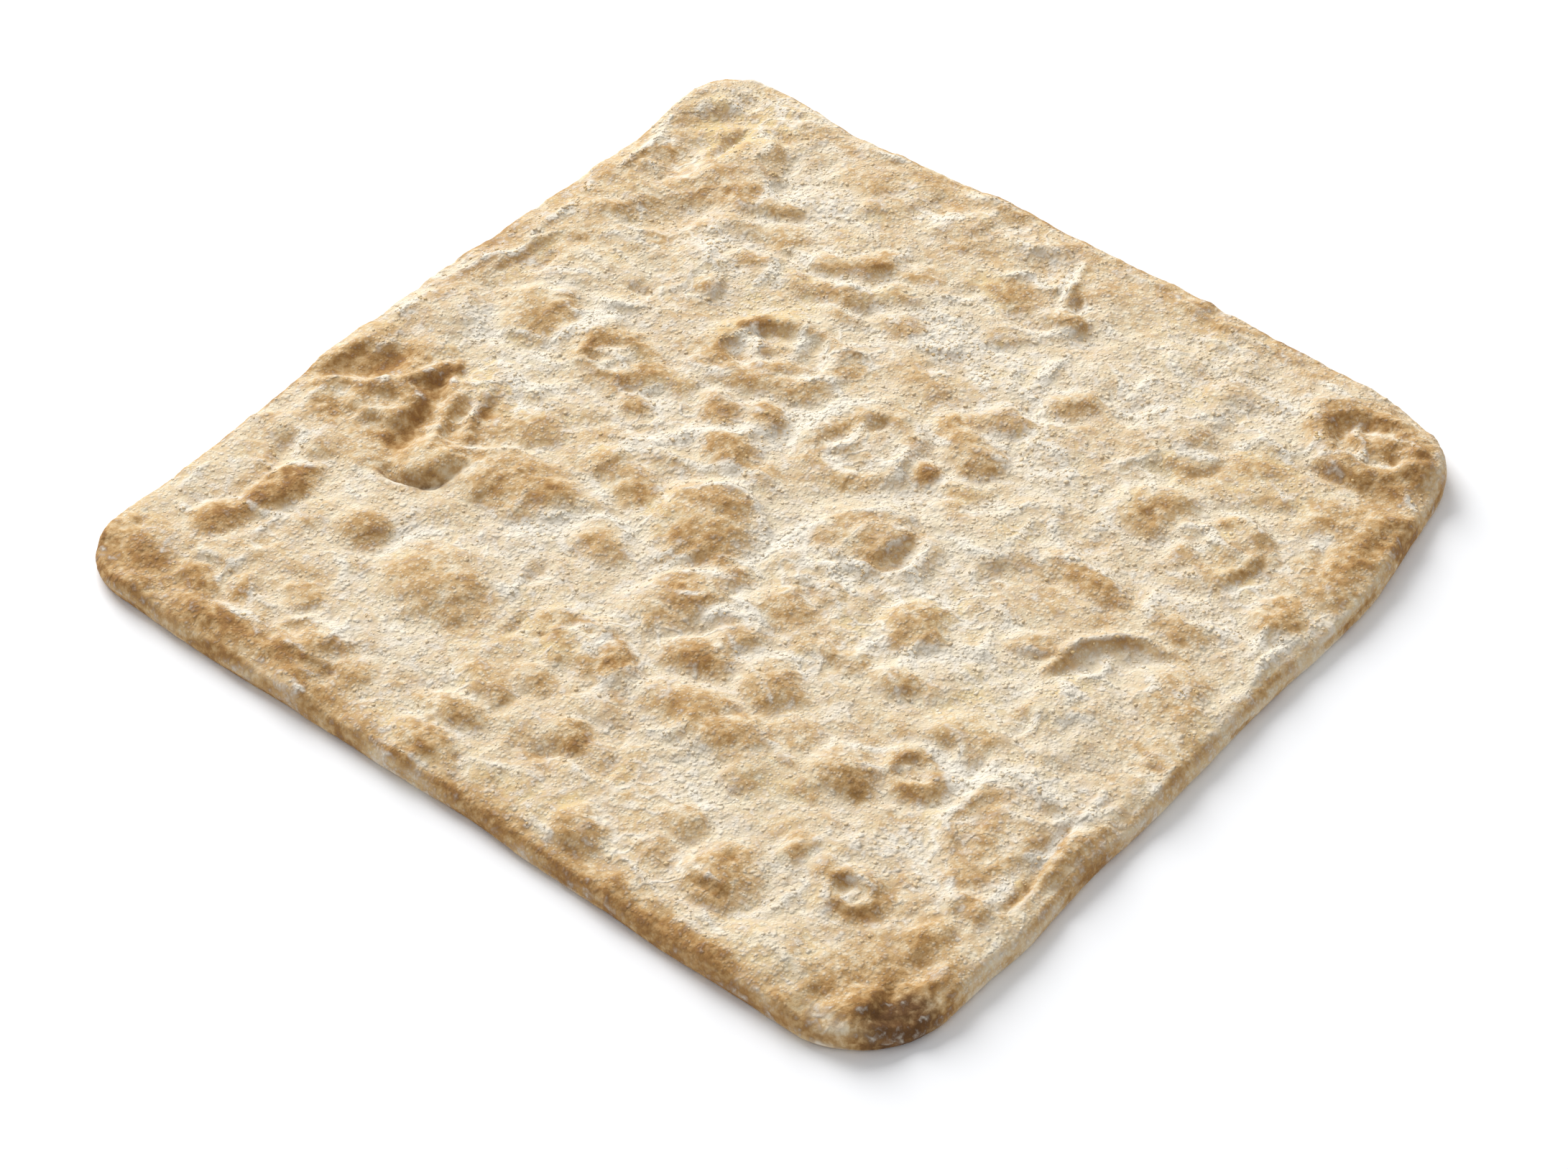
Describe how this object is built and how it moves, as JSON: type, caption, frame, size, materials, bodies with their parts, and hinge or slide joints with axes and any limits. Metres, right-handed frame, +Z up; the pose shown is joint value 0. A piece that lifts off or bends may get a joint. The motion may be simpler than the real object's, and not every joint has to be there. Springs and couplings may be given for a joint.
{
  "type": "square pizza base",
  "caption": "Thin square par-baked pizza base with rounded corners, a rolled rim, bubbled and folded floury skin, and a flat underside.",
  "frame": {"origin": "middle of the bread's box in X and Y, on the plane of the flat underside", "axes": "+X along the slightly longer side, +Y towards the far side, +Z up through the thickness, out of the bubbled skin"},
  "size_m": [0.2922, 0.2804, 0.0123],
  "materials": {
    "crust": "dry, matt, flour-dusted wheat crust, cream in the hollows and golden tan on the bubbles, brown at the near edge and one corner"
  },
  "bodies": {
    "root": {"pizza_base": "crust"}
  },
  "joints": []
}
